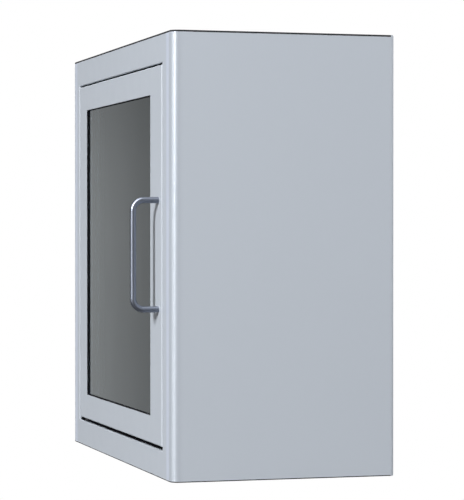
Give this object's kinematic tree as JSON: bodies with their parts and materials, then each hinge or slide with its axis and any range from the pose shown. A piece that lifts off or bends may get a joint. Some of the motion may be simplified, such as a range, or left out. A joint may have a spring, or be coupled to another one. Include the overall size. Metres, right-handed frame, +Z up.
{
  "type": "defibrillator wall cabinet",
  "caption": "Folded sheet-steel wall cabinet for a portable defibrillator, with a flush hinged door, a clear window and a bent-bar pull handle.",
  "frame": {"origin": "centre of the flat back face, where the cabinet meets the wall", "axes": "+X along the width towards the handle side, +Y into the wall, +Z up; the door faces -Y"},
  "size_m": [0.4, 0.2292, 0.39],
  "materials": {
    "cabinet_paint": "satin light blue-grey powder coat",
    "door_paint": "satin light blue-grey powder coat",
    "handle_metal": "satin",
    "fastener_steel": "zinc plated",
    "strip_steel": "zinc plated sheet",
    "gasket_rubber": "matte black",
    "bumper_rubber": "matte black",
    "window_clear": "clear polished",
    "catch_plastic": "fine texture",
    "bearing_plastic": "smooth nylon",
    "seam_sealant": "dull dark grey bead"
  },
  "bodies": {
    "cabinet": {"front_shell": "cabinet_paint", "top_panel": "cabinet_paint", "bottom_panel": "cabinet_paint", "back_panel": "cabinet_paint", "seam_bead_top": "seam_sealant", "seam_bead_bottom": "seam_sealant", "door_seal": "gasket_rubber", "pivot_pin_upper": "fastener_steel", "pivot_pin_lower": "fastener_steel", "pivot_washer": "bearing_plastic", "stop_bracket_upper": "cabinet_paint", "stop_bracket_lower": "cabinet_paint", "catch_bracket": "cabinet_paint", "bumper_upper": "bumper_rubber", "bumper_lower": "bumper_rubber", "magnet_housing": "catch_plastic", "magnet_pole_plates": "fastener_steel"},
    "door": {"door_sheet": "door_paint", "pivot_bush_upper": "bearing_plastic", "pivot_bush_lower": "bearing_plastic", "window_gasket": "gasket_rubber", "window_pane": "window_clear", "pane_strip_top": "strip_steel", "pane_strip_bottom": "strip_steel", "pane_strip_lock_side": "strip_steel", "pane_strip_hinge_side": "strip_steel", "pull_handle": "handle_metal", "handle_screw_upper": "fastener_steel", "handle_screw_lower": "fastener_steel"}
  },
  "joints": [
    {"name": "door_hinge", "type": "hinge", "parent": "cabinet", "child": "door", "pos_m": [-0.1567, -0.1974, 0], "axis": [0, 0, -1], "range_deg": [0, 110]}
  ]
}
